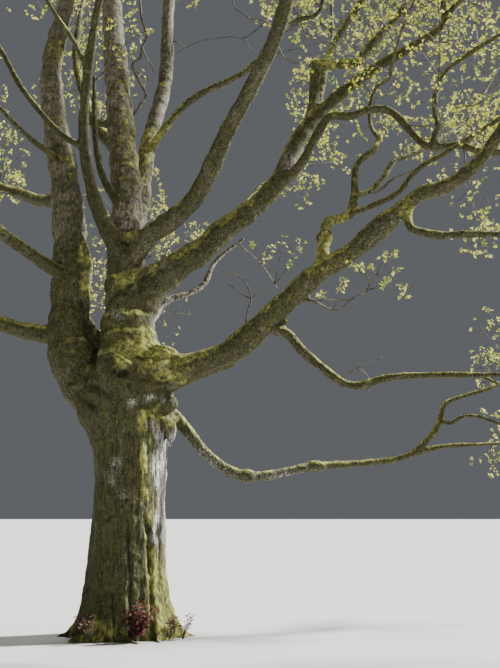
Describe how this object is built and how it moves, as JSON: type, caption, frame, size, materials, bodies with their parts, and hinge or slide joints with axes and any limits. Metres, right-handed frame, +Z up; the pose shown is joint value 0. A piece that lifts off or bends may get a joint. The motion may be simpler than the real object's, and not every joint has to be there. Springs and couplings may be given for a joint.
{
  "type": "cappadocian maple tree",
  "caption": "Whole old broadleaf tree with a short mossy trunk, root flare, burred fork, long crooked boughs and airy masses of twigs in early leaf.",
  "frame": {"origin": "centre of the flat cut under the trunk, at ground level", "axes": "+Z up the trunk, +X to the right of the side that the picture shows, +Y away from the viewer"},
  "size_m": [15.9809, 13.3248, 16.1834],
  "materials": {
    "bark": "rough bark under moss and grey lichen",
    "pale_bark": "dead limb with weathered whitish bark",
    "twig_leaf": "brown twigs with small opening yellow-green leaves and blossom",
    "sucker_leaf": "soft young crimson leaves"
  },
  "bodies": {
    "root": {"bough_arched": "bark", "bough_arched_up": "bark", "bough_back_left": "bark", "bough_back_low": "bark", "bough_back_right": "bark", "bough_beside": "bark", "bough_crossing": "bark", "bough_dark": "bark", "bough_dark_spur": "bark", "bough_elbow": "bark", "bough_elbow_up": "bark", "bough_front": "bark", "bough_high_fork": "bark", "bough_high_right": "bark", "bough_inner": "bark", "bough_left_back": "bark", "bough_left_front": "bark", "bough_left_low": "bark", "bough_long_right": "bark", "bough_low": "bark", "bough_low_fork": "bark", "bough_mid_right": "bark", "bough_pale": "pale_bark", "bough_rising": "bark", "bough_side": "bark", "bough_stub": "bark", "bough_under": "bark", "stem_centre": "bark", "stem_left": "bark", "stem_main": "bark", "stem_right": "bark", "suckers_front": "sucker_leaf", "suckers_side": "sucker_leaf", "trunk": "bark", "twigs_arched": "twig_leaf", "twigs_back_left": "twig_leaf", "twigs_back_low": "twig_leaf", "twigs_back_right": "twig_leaf", "twigs_crossing": "twig_leaf", "twigs_dark": "twig_leaf", "twigs_dark_spur": "twig_leaf", "twigs_elbow": "twig_leaf", "twigs_elbow_up": "twig_leaf", "twigs_front": "twig_leaf", "twigs_high_fork": "twig_leaf", "twigs_high_right": "twig_leaf", "twigs_left_back": "twig_leaf", "twigs_left_front": "twig_leaf", "twigs_left_low": "twig_leaf", "twigs_left_top": "twig_leaf", "twigs_long_right": "twig_leaf", "twigs_low": "twig_leaf", "twigs_low_fork": "twig_leaf", "twigs_mid_right": "twig_leaf", "twigs_right_top": "twig_leaf", "twigs_rising": "twig_leaf", "twigs_side": "twig_leaf", "twigs_stub": "twig_leaf", "twigs_top": "twig_leaf", "twigs_under": "twig_leaf"}
  },
  "joints": []
}
